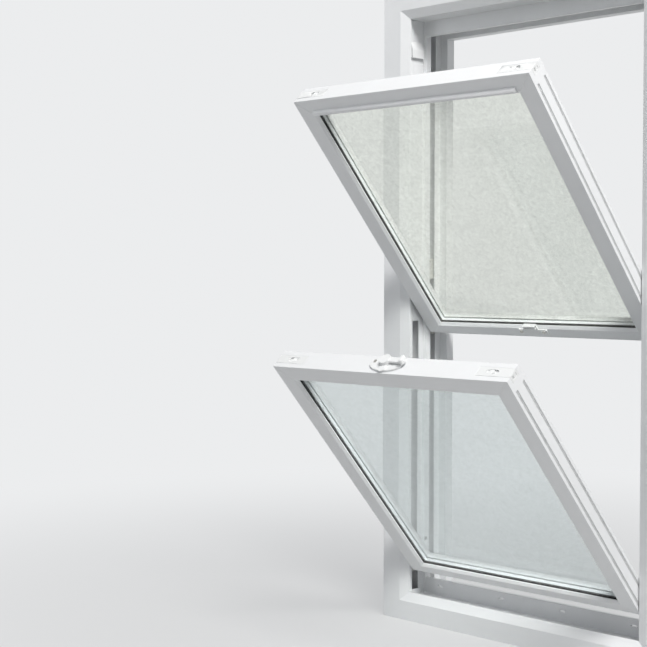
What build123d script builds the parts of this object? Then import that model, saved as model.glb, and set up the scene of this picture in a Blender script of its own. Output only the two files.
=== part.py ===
from build123d import *
import os
from math import cos, radians, sin

os.makedirs("parts", exist_ok=True)

# White double-hung window with two sashes that slide in their own tracks and tilt into the room.
# Origin: centre of the sill's underside. +X to the right as seen from the room, +Y outdoors, +Z up.
# Section coordinates: "out" is measured inward from the frame's outer edge, "deep" from its room face.

# Frame
width = 610.0
height = 1168.0
depth = 121.5
wall = 2.2
jamb_reach = 58.5
jamb_bevel = 18.5
head_reach = 50.0
sill_reach = 52.0
bevel_depth = 7.0
lip_thickness = 2.5
track_recess = 4.5
rib_height = 5.5
rib_start = 50.0
rib_slope = 1.5
head_drop = 28.0
parting_thickness = 6.0
parting_start = 51.0
outer_ceiling_drop = 1.0
stop_lead = 11.5
head_stop_reach = 78.0
stop_front = 100.0
edge_break = 2.0
seat_height = 45.0
seat_fall = 1.0
upstand_start = 52.0
upstand_thickness = 5.0
upstand_height = 74.0
outer_seat_height = 40.0
outer_seat_fall = 5.4
screen_leg_thickness = 2.5
screen_leg_height = 6.5

# Balance pockets in the jambs
pocket_depth = 27.8
pocket_width = 31.0
slot_width = 18.0
slot_bottom = 54.0
cover_drop = 17.0
cover_lip = 3.0
cover_fit = 0.2
cover_proud = 0.3
cover_back_thickness = 1.5

# Fixing holes through the jambs
fixing_hole = 5.0
access_hole = 8.0
fixing_deep = 55.5
fixing_inset = 150.0

# Sill drains
weep_length = 12.0
weep_height = 3.0
weep_rise = 62.0
weep_near = 66.0
weep_end = 96.0
drain_length = 28.0
drain_height = 5.0
drain_rise = 14.0
drain_end = 115.0
drain_cover_length = 38.0
drain_cover_height = 12.0
drain_cover_thickness = 2.0
drain_cover_slot = 22.4

# Sashes
side_gap = 2.5
sash_thickness = 37.0
meeting_overlap = 34.0
bottom_play = 3.0
top_play = 3.0
sash_pitch = 48.0
lower_line = 28.5
pivot_rise = 13.0
member_width = 34.0
rebate_out = 20.5
rail_step_height = 13.0
rail_step_depth = 10.5
glass_lip_depth = 6.3
glass_lip_slope = 4.0
sash_wall = 2.2
web_half = 4.7
pile_groove_width = 5.0
pile_groove_depth = 3.0
pile_offset = 10.5
pile_proud = 1.0
pile_fit = 0.2
pile_end = 26.0
bottom_seal_offset = 5.0
bottom_seal_width = 5.0
bottom_seal_groove = 3.0
bottom_seal_proud = 1.5
pull_ridge_width = 9.0
pull_ridge_height = 7.0
pull_ridge_inset = 21.0

# Glazing
pane_thickness = 3.0
air_gap = 10.0
glass_bite = 12.0
tape_thickness = 1.2
tape_width = 9.0
spacer_width = 8.5
spacer_setback = 1.0
bead_lead = 0.5
bead_slope = 2.5

# Sash positions
tilt = 42.0
lower_raised = 45.0
upper_lowered = 26.0

# Balance shoes, pivot bars and coil balances
shoe_fit = 0.4
shoe_below = 17.0
shoe_above = 26.0
cam_radius = 8.45
cam_clearance = 0.05
cam_depth = 18.0
bar_height = 12.0
bar_thickness = 5.0
bar_fit = 0.15
bar_in_cam = 14.0
bar_in_sash = 46.0
coil_radius = 10.5
coil_core = 4.5
coil_clearance = 0.5
coil_width = 14.0
coil_house_above = 24.0
coil_house_below = 14.0
lower_coil_rise = 28.0
upper_coil_rise = 78.0
ribbon_thickness = 0.5
ribbon_width = 12.0
ribbon_gap = 0.3
screw_head_radius = 3.5
screw_head_height = 2.0
screw_radius = 1.9
pan_head_height = 1.8

# Sash stops in the room-side track
stop_height = 30.0
stop_drop = 120.0
stop_clip_width = 32.0
stop_clip_reach = 5.4
stop_clip_slope = 14.0

# Tilt latches
latch_length = 64.0
latch_width = 18.0
latch_depth = 12.0
latch_fit = 0.2
bolt_width = 10.0
bolt_height = 6.0
bolt_inset = 0.5
bolt_length = 50.0
bolt_travel = 7.0
bolt_clearance = 0.3
bolt_nose = 4.0
button_length = 16.0
button_width = 9.0
button_place = 41.0
dimple_radius = 3.0
dimple_offset = 3.2
dimple_depth = 1.2
dimple_taper = 15.0

# Sash lock and keeper
lock_length = 66.0
lock_width = 31.0
lock_shift = 0.5
lock_setback = 4.0
lock_base_height = 3.5
lock_hub_radius = 10.5
lock_hub_height = 7.5
lock_hub_taper = 6.0
lock_pin_radius = 3.0
lock_clearance = 0.1
lock_cam_thickness = 2.0
lock_cam_reach = 22.0
lock_cam_width = 12.0
lock_lever_length = 36.0
lock_lever_width = 9.0
lock_lever_height = 4.0
lock_tab_height = 9.0
lock_tab_length = 13.5
lock_tab_width = 6.3
lock_screw_pitch = 50.0
lock_screw_seat = 1.5
keeper_length = 62.0
keeper_height = 10.0
keeper_thickness = 2.5
keeper_lip = 1.8
keeper_play = 0.6
keeper_hook_length = 26.0
keeper_hook_reach = 8.0
keeper_screw_pitch = 48.0

# Worked out from the sizes above
sash_bottom = seat_height + bottom_play
upper_top = height - head_reach - outer_ceiling_drop - top_play
sash_height = (upper_top - sash_bottom + meeting_overlap) / 2
lower_closed = sash_bottom + pivot_rise
upper_closed = upper_top - sash_height + pivot_rise
lower_coil_height = upper_closed + lower_coil_rise
upper_coil_height = upper_closed + upper_coil_rise
cover_bottom = upper_closed - cover_drop
stop_underside = height - stop_drop
front = -depth / 2
upper_line = lower_line + sash_pitch
lip_back = bevel_depth + lip_thickness
half = width / 2
jamb_face = jamb_reach - jamb_bevel
track_floor = jamb_reach - track_recess
stop_reach = jamb_reach + stop_lead
rib_top = track_floor + rib_height
rib_end = upper_line - slot_width / 2 - rib_slope
pocket_front = track_floor - wall
pocket_back = pocket_front - pocket_depth
sash_width = width - 2 * (jamb_reach + side_gap)
sash_half = sash_width / 2
face = -sash_thickness / 2
sash_top = sash_height - pivot_rise
sash_foot = -pivot_rise
glass_in = face + glass_lip_depth + tape_thickness
glass_mid_in = glass_in + pane_thickness
glass_mid_out = glass_mid_in + air_gap
glass_out = glass_mid_out + pane_thickness
glass_edge = member_width - glass_bite
spacer_edge = member_width - spacer_setback - spacer_width
bead_reach = member_width + bead_lead
weep_far = half - weep_end
drain_offset = half - drain_end
lower_pivot = lower_closed + lower_raised
upper_pivot = upper_closed - upper_lowered
sash_edge_out = jamb_reach + side_gap

# Planes: a section across the window, a section across the left jamb, and the two tilted sashes.
across = Plane(origin=(0, front, 0), x_dir=(0, 1, 0), z_dir=(1, 0, 0))
across_head = Plane(origin=(0, front, height), x_dir=(0, 1, 0), z_dir=(1, 0, 0))
jamb_foot = Plane(origin=(-half, front, 0), x_dir=(1, 0, 0), z_dir=(0, 0, 1))
from_room = Plane(origin=(-half, front, 0), x_dir=(1, 0, 0), z_dir=(0, -1, 0))
from_left = Plane(origin=(-half, front, 0), x_dir=(0, 1, 0), z_dir=(1, 0, 0))
lower_place = Location((0, front + lower_line, lower_pivot), (tilt, 0, 0))
upper_place = Location((0, front + upper_line, upper_pivot), (tilt, 0, 0))


def save(piece, name, place=None):
    if place is not None:
        piece = piece.moved(place)
    piece.label = name
    export_step(piece, "parts/" + name + ".step")
    return piece


def save_pair(piece, name, place=None):
    save(piece, name + "_left", place)
    save(mirror(piece, about=Plane.YZ), name + "_right", place)


# Extruded frame members, hollow, welded at the corners. The room-side flange is mitred, and behind
# it the head and the sill are cut to the jambs' section.

jamb_outline = [
    (0, 0),
    (jamb_face, 0),
    (jamb_reach, bevel_depth),
    (jamb_reach, lip_back),
    (track_floor, lip_back),
    (track_floor, rib_start),
    (rib_top, rib_start + rib_slope),
    (rib_top, rib_end - rib_slope),
    (track_floor, rib_end),
    (track_floor, stop_front),
    (stop_reach, stop_front),
    (stop_reach, depth - edge_break),
    (stop_reach - edge_break, depth),
    (0, depth),
]


def flange_corner(reach, top):
    """Corner triangle of the room-side flange, between the outer corner and the lip's corner."""
    if top:
        return [(0, height), (jamb_reach, height), (jamb_reach, height - reach)]
    return [(0, 0), (jamb_reach, 0), (jamb_reach, reach)]


def make_jamb():
    pocket_sides = [lower_line - pocket_width / 2, lower_line + pocket_width / 2]
    outer_sides = [upper_line - pocket_width / 2, upper_line + pocket_width / 2]
    chambers = [
        (wall, wall, pocket_back - wall, upper_line - pocket_width / 2 - wall),
        (wall, upper_line - pocket_width / 2, pocket_back - wall, depth - wall),
        (pocket_back, wall, jamb_face, pocket_sides[0] - wall),
        (pocket_back, pocket_sides[0], pocket_front, pocket_sides[1]),
        (pocket_back, pocket_sides[1] + wall, pocket_front, outer_sides[0] - wall),
        (track_floor, rib_start + rib_slope + wall, rib_top - wall, rib_end - rib_slope - wall),
        (pocket_back, outer_sides[0], pocket_front, outer_sides[1]),
        (pocket_back, outer_sides[1] + wall, pocket_front, depth - wall),
        (pocket_front, stop_front + wall, stop_reach - wall, depth - wall),
    ]
    with BuildPart() as jamb:
        with BuildSketch(jamb_foot):
            with BuildLine():
                Polyline(*jamb_outline, close=True)
            make_face()
            for x0, y0, x1, y1 in chambers:
                with Locations(((x0 + x1) / 2, (y0 + y1) / 2)):
                    Rectangle(x1 - x0, y1 - y0, mode=Mode.SUBTRACT)
        extrude(amount=height)
        for line in (lower_line, upper_line):
            with BuildSketch(jamb_foot.offset(slot_bottom)):
                with Locations((track_floor - wall / 2, line)):
                    Rectangle(3 * wall, slot_width)
            extrude(amount=height - slot_bottom, mode=Mode.SUBTRACT)
        for reach, top in ((sill_reach, False), (head_reach, True)):
            with BuildSketch(from_room):
                with BuildLine():
                    Polyline(*flange_corner(reach, top), close=True)
                make_face()
            extrude(amount=-lip_back, mode=Mode.SUBTRACT)
        for rise in (fixing_inset, height - fixing_inset):
            with BuildSketch(from_left):
                with Locations((fixing_deep, rise)):
                    Circle(fixing_hole / 2)
            extrude(amount=rib_top, mode=Mode.SUBTRACT)
            with BuildSketch(from_left.offset(pocket_front - wall)):
                with Locations((fixing_deep, rise)):
                    Circle(access_hole / 2)
            extrude(amount=rib_top, mode=Mode.SUBTRACT)
    return jamb.part


def jamb_solid():
    """The jamb's outer form without its mitred flange, used to cut the head and sill to fit."""
    with BuildPart() as block:
        with BuildSketch(jamb_foot):
            with BuildLine():
                Polyline(*jamb_outline, close=True)
            make_face()
            with Locations((jamb_reach / 2, lip_back / 2)):
                Rectangle(jamb_reach + 1, lip_back, mode=Mode.SUBTRACT)
        extrude(amount=height)
    return block.part


def cut_to_jambs(reach, top):
    """Wedges of the flange and the jambs' sections that a cross member makes room for."""
    corner = height if top else 0
    inner = height - reach if top else reach
    away = height / 2
    with BuildPart() as wedge:
        with BuildSketch(from_room):
            with BuildLine():
                Polyline((0, corner), (jamb_reach, inner), (jamb_reach, away), (0, away), close=True)
            make_face()
        extrude(amount=-lip_back)
    block = jamb_solid()
    return [wedge.part, mirror(wedge.part, about=Plane.YZ), block, mirror(block, about=Plane.YZ)]


def make_sill():
    face_height = sill_reach * jamb_face / jamb_reach
    upstand_end = upstand_start + upstand_thickness
    outer_seat_end = outer_seat_height - outer_seat_fall
    leg_deep = stop_front - screen_leg_thickness
    leg_foot = outer_seat_height - outer_seat_fall * (leg_deep - upstand_end) / (depth - upstand_end)
    outline = [
        (0, 0),
        (0, face_height),
        (bevel_depth, sill_reach),
        (lip_back, sill_reach),
        (lip_back, seat_height),
        (upstand_start, seat_height - seat_fall),
        (upstand_start, upstand_height),
        (upstand_end, upstand_height),
        (upstand_end, outer_seat_height),
        (leg_deep, leg_foot),
        (leg_deep, leg_foot + screen_leg_height),
        (stop_front, leg_foot + screen_leg_height),
        (stop_front, leg_foot),
        (depth, outer_seat_end),
        (depth, 0),
    ]
    ceiling = seat_height - seat_fall - wall
    chambers = [
        (bevel_depth, wall, pocket_back, ceiling),
        (pocket_back + wall, wall, upstand_start, ceiling),
        (upstand_start + wall, wall, upper_line, leg_foot - wall),
        (upper_line + wall, wall, depth - wall, outer_seat_end - wall),
    ]
    with BuildPart() as sill:
        with BuildSketch(across):
            with BuildLine():
                Polyline(*outline, close=True)
            make_face()
            for x0, y0, x1, y1 in chambers:
                with Locations(((x0 + x1) / 2, (y0 + y1) / 2)):
                    Rectangle(x1 - x0, y1 - y0, mode=Mode.SUBTRACT)
        extrude(amount=half, both=True)
        for cutter in cut_to_jambs(sill_reach, False):
            add(cutter, mode=Mode.SUBTRACT)
        with BuildSketch(Plane.XZ.offset(-front - upstand_start + wall)):
            for along in (-weep_far, -weep_near, weep_near, weep_far):
                with Locations((along, weep_rise)):
                    SlotOverall(weep_length, weep_height)
        extrude(amount=-upstand_thickness - 2 * wall, mode=Mode.SUBTRACT)
        with BuildSketch(Plane.XZ.offset(-front - depth + 2 * wall)):
            with Locations((-drain_offset, drain_rise), (drain_offset, drain_rise)):
                SlotOverall(drain_length, drain_height)
        extrude(amount=-3 * wall, mode=Mode.SUBTRACT)
    return sill.part


def make_head():
    face_height = head_reach * jamb_face / jamb_reach
    parting_end = parting_start + parting_thickness
    outer_ceiling = head_reach + outer_ceiling_drop
    outline = [
        (0, 0),
        (0, -face_height),
        (bevel_depth, -head_reach),
        (parting_start, -head_reach),
        (parting_start, -head_reach - head_drop),
        (parting_end, -head_reach - head_drop),
        (parting_end, -outer_ceiling),
        (stop_front, -outer_ceiling),
        (stop_front, -head_stop_reach),
        (depth - edge_break, -head_stop_reach),
        (depth, edge_break - head_stop_reach),
        (depth, 0),
    ]
    floor = -head_reach + wall
    chambers = [
        (bevel_depth, floor, pocket_back, -wall),
        (pocket_back + wall, floor, parting_start, -wall),
        (parting_start + wall, floor, upper_line, -wall),
        (upper_line + wall, floor, stop_front, -wall),
        (stop_front + wall, wall - head_stop_reach, depth - wall, -wall),
        (parting_start + wall, wall - head_reach - head_drop, parting_end - wall, -outer_ceiling),
    ]
    with BuildPart() as head:
        with BuildSketch(across_head):
            with BuildLine():
                Polyline(*outline, close=True)
            make_face()
            for x0, y0, x1, y1 in chambers:
                with Locations(((x0 + x1) / 2, (y0 + y1) / 2)):
                    Rectangle(x1 - x0, y1 - y0, mode=Mode.SUBTRACT)
        extrude(amount=half, both=True)
        for cutter in cut_to_jambs(head_reach, True):
            add(cutter, mode=Mode.SUBTRACT)
    return head.part


def make_drain_covers():
    """Snap-in covers over the two drain slots in the sill's outdoor face."""
    outdoor = Plane.XZ.offset(front)
    with BuildPart() as covers:
        with BuildSketch(outdoor):
            with Locations((-drain_offset, drain_rise), (drain_offset, drain_rise)):
                RectangleRounded(drain_cover_length, drain_cover_height, edge_break)
        extrude(amount=-drain_cover_thickness)
        chamfer(covers.faces().sort_by(Axis.Y)[-1].edges(), drain_cover_thickness / 3)
        with BuildSketch(outdoor.offset(-drain_cover_thickness)):
            for side in (-1, 1):
                with Locations((side * drain_offset, drain_rise - drain_height / 2)):
                    SlotOverall(drain_cover_slot, weep_height)
        extrude(amount=drain_cover_thickness, mode=Mode.SUBTRACT)
        with BuildSketch(outdoor):
            with Locations((-drain_offset, drain_rise), (drain_offset, drain_rise)):
                SlotOverall(drain_length - 2 * cover_fit, drain_height - 2 * cover_fit)
                SlotOverall(drain_length - wall, drain_height - wall, mode=Mode.SUBTRACT)
        extrude(amount=wall)
    return covers.part


def make_track_cover():
    """Strip that closes the room-side track's slot above the lower sash's travel."""
    top = height - head_reach - cover_fit
    with BuildPart() as cover:
        with BuildSketch(jamb_foot.offset(cover_bottom)):
            back = pocket_front - cover_fit
            with Locations((back - cover_back_thickness / 2, lower_line)):
                Rectangle(cover_back_thickness, slot_width + 2 * cover_lip)
            with Locations(((back + track_floor + cover_proud) / 2, lower_line)):
                Rectangle(track_floor + cover_proud - back, slot_width - 2 * cover_fit)
        extrude(amount=top - cover_bottom)
    return cover.part


def make_sash_stop():
    """Wedge on the track cover that stops the lower sash short of the head."""
    seat = track_floor + cover_proud
    with BuildPart() as stop:
        with BuildSketch(from_room.offset(-lower_line + stop_clip_width / 2)):
            with BuildLine():
                Polyline(
                    (seat, stop_underside + stop_height),
                    (seat, stop_underside + stop_clip_slope / 4),
                    (seat + stop_clip_reach / 2, stop_underside),
                    (seat + stop_clip_reach, stop_underside),
                    (seat + stop_clip_reach, stop_underside + stop_clip_slope),
                    close=True,
                )
            make_face()
        extrude(amount=-stop_clip_width)
        fillet(stop.edges().filter_by(Axis.Z), edge_break / 4)
    return stop.part


# Balance system, one in each jamb pocket for each sash: a moulded shoe that runs in the pocket, a
# steel ribbon that pulls it up, and the coil that the ribbon comes from, in a housing.


def make_shoe(line, pivot):
    foot = jamb_foot.offset(pivot - shoe_below)
    deep = pocket_front - pocket_back - 2 * shoe_fit
    middle = (pocket_front + pocket_back) / 2
    bore = Plane(origin=(-half + pocket_front, front + line, pivot), x_dir=(0, 1, 0), z_dir=(1, 0, 0))
    with BuildPart() as shoe:
        with BuildSketch(foot):
            with Locations((middle, line)):
                Rectangle(deep, pocket_width - 2 * shoe_fit)
        extrude(amount=shoe_below + shoe_above)
        chamfer(shoe.edges().filter_by(Axis.X), edge_break)
        with BuildSketch(bore):
            Circle(cam_radius + cam_clearance)
        extrude(amount=-cam_depth - 2 * shoe_fit, mode=Mode.SUBTRACT)
        with BuildSketch(bore):
            with Locations((0, -shoe_below / 2)):
                Rectangle(edge_break, shoe_below)
        extrude(amount=-cam_depth, mode=Mode.SUBTRACT)
        with BuildSketch(bore.offset(-shoe_fit)):
            with Locations((0, shoe_above - 2 * edge_break)):
                Rectangle(pocket_width / 2, 2 * edge_break)
        extrude(amount=-deep / 2, mode=Mode.SUBTRACT)
    return shoe.part


def make_pivot_bar():
    """Flat steel bar in the sash's foot, and the round cam that it turns in the shoe."""
    edge = Plane(origin=(-sash_half, 0, 0), x_dir=(0, 1, 0), z_dir=(1, 0, 0))
    gap = sash_edge_out - pocket_front
    with BuildPart() as bar:
        with BuildSketch(edge.offset(bar_in_sash)):
            RectangleRounded(bar_thickness, bar_height, bar_thickness / 5)
        extrude(amount=-bar_in_sash - gap - shoe_fit - bar_in_cam)
    with BuildPart() as cam:
        with BuildSketch(edge.offset(-gap - shoe_fit)):
            Circle(cam_radius)
            Rectangle(bar_thickness + 2 * bar_fit, bar_height + 2 * bar_fit, mode=Mode.SUBTRACT)
        extrude(amount=-bar_in_cam - bar_fit)
        with BuildSketch(edge.offset(-gap - shoe_fit - bar_in_cam - bar_fit)):
            Circle(cam_radius)
        extrude(amount=bar_in_cam + bar_fit - cam_depth)
    return Compound(children=[bar.part, cam.part])


def make_coil(line, rise):
    """Coil housing with the wound spring on its hub. The ribbon leaves it on the jamb's side."""
    axle = Plane(origin=(-half, front + line, rise), x_dir=(1, 0, 0), z_dir=(0, 1, 0))
    back = pocket_back + shoe_fit
    centre = back + wall / 2 + coil_radius + coil_clearance
    thick = centre - back + coil_radius + coil_clearance + wall / 2
    side = pocket_width / 2 - shoe_fit
    with BuildPart() as house:
        with BuildSketch(axle.offset(-side)):
            with Locations((back + thick / 2, (coil_house_below - coil_house_above) / 2)):
                Rectangle(thick, coil_house_above + coil_house_below)
        extrude(amount=2 * side)
        with BuildSketch(axle.offset(-side)):
            with Locations((centre, 0)):
                Circle(coil_radius + coil_clearance)
                Circle(coil_core - coil_clearance / 2, mode=Mode.SUBTRACT)
        extrude(amount=side + coil_width / 2 + coil_clearance, mode=Mode.SUBTRACT)
        with BuildSketch(axle.offset(-side)):
            with Locations((centre - coil_radius, coil_house_below)):
                Rectangle(2 * wall, 2 * coil_house_below)
        extrude(amount=side + coil_width / 2 + coil_clearance, mode=Mode.SUBTRACT)
        screw_height = rise + coil_house_above - 2 * screw_head_radius
        screw_at = (-half + back + thick, front + line, screw_height)
        screw_face = Plane(origin=screw_at, x_dir=(0, 1, 0), z_dir=(1, 0, 0))
        with BuildSketch(screw_face):
            Circle(screw_head_radius + coil_clearance / 2)
        extrude(amount=wall - thick, mode=Mode.SUBTRACT)
        with BuildSketch(screw_face):
            Circle(screw_radius + bar_fit)
        extrude(amount=-thick, mode=Mode.SUBTRACT)
    with BuildPart() as coil:
        with BuildSketch(axle.offset(-coil_width / 2)):
            with Locations((centre, 0)):
                Circle(coil_radius)
                Circle(coil_core, mode=Mode.SUBTRACT)
        extrude(amount=coil_width)
    return Compound(children=[house.part, coil.part])


def make_coil_screw(line, rise):
    back = pocket_back + shoe_fit
    screw_height = rise + coil_house_above - 2 * screw_head_radius
    screw_at = (-half + back + wall, front + line, screw_height)
    seat = Plane(origin=screw_at, x_dir=(0, 1, 0), z_dir=(1, 0, 0))
    with BuildPart() as screw:
        with BuildSketch(seat):
            Circle(screw_head_radius)
        extrude(amount=screw_head_height)
        with BuildSketch(seat):
            Circle(screw_radius)
        extrude(amount=-wall - shoe_fit)
        fillet(screw.edges().sort_by(Axis.X)[-1], screw_head_height / 3)
    return screw.part


def make_ribbon(line, pivot, rise):
    """Steel ribbon from the coil down to the top of the shoe."""
    start = pocket_back + shoe_fit + wall / 2 + coil_clearance - ribbon_thickness - ribbon_gap
    foot = pivot + shoe_above + ribbon_gap
    with BuildPart() as ribbon:
        with BuildSketch(jamb_foot.offset(foot)):
            with Locations((start + ribbon_thickness / 2, line)):
                Rectangle(ribbon_thickness, ribbon_width)
        extrude(amount=rise - foot)
    return ribbon.part


# Sash members, in the sash's own position: origin on the pivots' axis, upright, room face at -Y.


def member_outline(step):
    """Section of a sash member: y through the sash, and the distance in from its outer edge."""
    start = face + rail_step_depth if step else face
    points = [
        (start, 0),
        (-face, 0),
        (-face, rebate_out),
        (face + glass_lip_depth, rebate_out),
        (face + glass_lip_depth, member_width),
        (face + glass_lip_depth - edge_break, member_width + edge_break / 2),
        (face, member_width - glass_lip_slope),
    ]
    if step:
        points += [(face, rail_step_height), (start, rail_step_height)]
    return points


def make_member(length, turn, step=False):
    """Straight hollow sash member with its section on the given plane, at the member's middle."""
    points = member_outline(step)
    with BuildPart() as member:
        with BuildSketch(turn):
            with BuildLine():
                Polyline(*points, close=True)
            make_face()
            if step:
                room_side = -face - rail_step_depth - sash_wall
                for side, outer in ((-1, room_side), (1, -face - sash_wall)):
                    with Locations((side * (outer + web_half) / 2, rebate_out / 2)):
                        Rectangle(outer - web_half, rebate_out - 2 * sash_wall, mode=Mode.SUBTRACT)
            else:
                with Locations((0, rebate_out / 2)):
                    Rectangle(-2 * face - 2 * sash_wall, rebate_out - 2 * sash_wall, mode=Mode.SUBTRACT)
        extrude(amount=length / 2, both=True)
    return member.part


def corner_plane(side, top):
    """Mitre plane at a sash corner, its normal pointing from the rail to the stile."""
    corner = (side * sash_half, 0, sash_top if top else sash_foot)
    return Plane(origin=corner, x_dir=(0, 1, 0), z_dir=(side, 0, -1 if top else 1))


def latch_pocket(fit):
    """Space of the left tilt latch's housing in the sash's top corner."""
    with BuildPart() as pocket:
        with BuildSketch(Plane.XY.offset(sash_top - latch_depth - fit)):
            with Locations((-sash_half + latch_length / 2, 0)):
                Rectangle(latch_length + 2 * fit, latch_width + 2 * fit)
        extrude(amount=latch_depth + 2 * fit)
    return pocket.part


def bar_pocket():
    """Space of the left pivot bar in the sash's foot."""
    with BuildPart() as pocket:
        with BuildSketch(Plane.YZ.offset(-sash_half - edge_break)):
            Rectangle(bar_thickness + 2 * bar_fit, bar_height + 2 * bar_fit)
        extrude(amount=bar_in_sash + edge_break + bar_fit)
    return pocket.part


def make_stile():
    """Left stile, with two grooves for pile seals along its edge."""
    turn = Plane(origin=(-sash_half, 0, sash_height / 2 - pivot_rise), x_dir=(0, 1, 0), z_dir=(0, 0, -1))
    with BuildPart() as stile:
        add(make_member(sash_height, turn))
        for top in (True, False):
            split(bisect_by=corner_plane(-1, top), keep=Keep.TOP)
        with BuildSketch(Plane.XY.offset(sash_foot + rail_step_height)):
            for side in (-1, 1):
                with Locations((-sash_half + pile_groove_depth / 2, side * pile_offset)):
                    Rectangle(pile_groove_depth, pile_groove_width)
        extrude(amount=sash_height - rail_step_height - pile_end, mode=Mode.SUBTRACT)
        with BuildSketch(Plane.YZ.offset(-sash_half)):
            with Locations((face + rail_step_depth / 2, sash_foot + rail_step_height / 2)):
                Rectangle(rail_step_depth, rail_step_height)
        extrude(amount=member_width, mode=Mode.SUBTRACT)
        add(latch_pocket(latch_fit), mode=Mode.SUBTRACT)
        add(bar_pocket(), mode=Mode.SUBTRACT)
    return stile.part


def make_top_rail(with_ridge):
    turn = Plane(origin=(0, 0, sash_top), x_dir=(0, 1, 0), z_dir=(-1, 0, 0))
    with BuildPart() as rail:
        add(make_member(sash_width, turn))
        for side in (-1, 1):
            split(bisect_by=corner_plane(side, True), keep=Keep.BOTTOM)
        if with_ridge:
            ridge_half = sash_half - member_width
            with BuildSketch(Plane.YZ.offset(-ridge_half)):
                with BuildLine():
                    top = sash_top - pull_ridge_inset
                    base = top - pull_ridge_width
                    Polyline((face, top), (face + sash_wall, top), (face + sash_wall, base), (face, base))
                    Line((face, base), (face - pull_ridge_height + pull_ridge_width / 2, base))
                    ThreePointArc(
                        (face - pull_ridge_height + pull_ridge_width / 2, base),
                        (face - pull_ridge_height, (top + base) / 2),
                        (face - pull_ridge_height + pull_ridge_width / 2, top),
                    )
                    Line((face - pull_ridge_height + pull_ridge_width / 2, top), (face, top))
                make_face()
            extrude(amount=2 * ridge_half)
        pocket = latch_pocket(latch_fit)
        add(pocket, mode=Mode.SUBTRACT)
        add(mirror(pocket, about=Plane.YZ), mode=Mode.SUBTRACT)
    return rail.part


def make_bottom_rail():
    turn = Plane(origin=(0, 0, sash_foot), x_dir=(0, 1, 0), z_dir=(1, 0, 0))
    with BuildPart() as rail:
        add(make_member(sash_width, turn, step=True))
        for side in (-1, 1):
            split(bisect_by=corner_plane(side, False), keep=Keep.BOTTOM)
        with BuildSketch(Plane.YZ.offset(-sash_half)):
            with Locations((bottom_seal_offset, sash_foot + bottom_seal_groove / 2)):
                Rectangle(bottom_seal_width, bottom_seal_groove)
        extrude(amount=sash_width, mode=Mode.SUBTRACT)
        pocket = bar_pocket()
        add(pocket, mode=Mode.SUBTRACT)
        add(mirror(pocket, about=Plane.YZ), mode=Mode.SUBTRACT)
    return rail.part


def ring(start, thickness, outer, inner):
    """Flat frame through the sash: outer and inner are distances in from the sash's edge."""
    middle = (sash_top + sash_foot) / 2
    with BuildPart() as band:
        with BuildSketch(Plane.XZ.offset(-start)):
            with Locations((0, middle)):
                Rectangle(sash_width - 2 * outer, sash_height - 2 * outer)
                if inner is not None:
                    Rectangle(sash_width - 2 * inner, sash_height - 2 * inner, mode=Mode.SUBTRACT)
        extrude(amount=-thickness)
    return band.part


def make_beads():
    """Four mitred glazing beads that hold the unit from the outdoor side."""
    middle = (sash_top + sash_foot) / 2
    section = [
        (glass_out, rebate_out),
        (-face - sash_wall / 2, rebate_out),
        (-face - sash_wall / 2, bead_reach - bead_slope),
        (glass_out + sash_wall, bead_reach),
        (glass_out, bead_reach),
    ]
    beads = []
    top_edge = Plane(origin=(0, 0, sash_top), x_dir=(0, 1, 0), z_dir=(-1, 0, 0))
    foot_edge = Plane(origin=(0, 0, sash_foot), x_dir=(0, 1, 0), z_dir=(1, 0, 0))
    left_edge = Plane(origin=(-sash_half, 0, middle), x_dir=(0, 1, 0), z_dir=(0, 0, -1))
    right_edge = Plane(origin=(sash_half, 0, middle), x_dir=(0, 1, 0), z_dir=(0, 0, 1))
    edges = [
        (top_edge, sash_width, Keep.BOTTOM, (True,), (-1, 1)),
        (foot_edge, sash_width, Keep.BOTTOM, (False,), (-1, 1)),
        (left_edge, sash_height, Keep.TOP, (True, False), (-1,)),
        (right_edge, sash_height, Keep.TOP, (True, False), (1,)),
    ]
    for plane, length, keep, tops, sides in edges:
        with BuildPart() as bead:
            with BuildSketch(plane):
                with BuildLine():
                    Polyline(*section, close=True)
                make_face()
            extrude(amount=length / 2, both=True)
            for top in tops:
                for side in sides:
                    split(bisect_by=corner_plane(side, top), keep=keep)
        beads.append(bead.part)
    return Compound(children=beads)


def make_weatherstrips():
    """Pile strips in the stiles' grooves and the soft seal under the bottom rail."""
    pile_height = pile_groove_depth - pile_fit + pile_proud
    pile_middle = sash_half + pile_proud - pile_height / 2
    strips = []
    for side in (-1, 1):
        for place in (-pile_offset, pile_offset):
            with BuildPart() as pile:
                with BuildSketch(Plane.XY.offset(sash_foot + rail_step_height + pile_fit)):
                    with Locations((side * pile_middle, place)):
                        Rectangle(pile_height, pile_groove_width - 2 * pile_fit)
                extrude(amount=sash_height - rail_step_height - pile_end - 2 * pile_fit)
            strips.append(pile.part)
    seal_half = sash_half - member_width
    seal_height = bottom_seal_groove - pile_fit + bottom_seal_proud
    with BuildPart() as seal:
        with BuildSketch(Plane.YZ.offset(-seal_half)):
            with Locations((bottom_seal_offset, sash_foot - bottom_seal_proud + seal_height / 2)):
                Rectangle(bottom_seal_width - 2 * pile_fit, seal_height)
        extrude(amount=2 * seal_half)
        fillet(seal.edges().filter_by(Axis.X).group_by(Axis.Z)[0], bottom_seal_proud)
    strips.append(seal.part)
    return Compound(children=strips)


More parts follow.
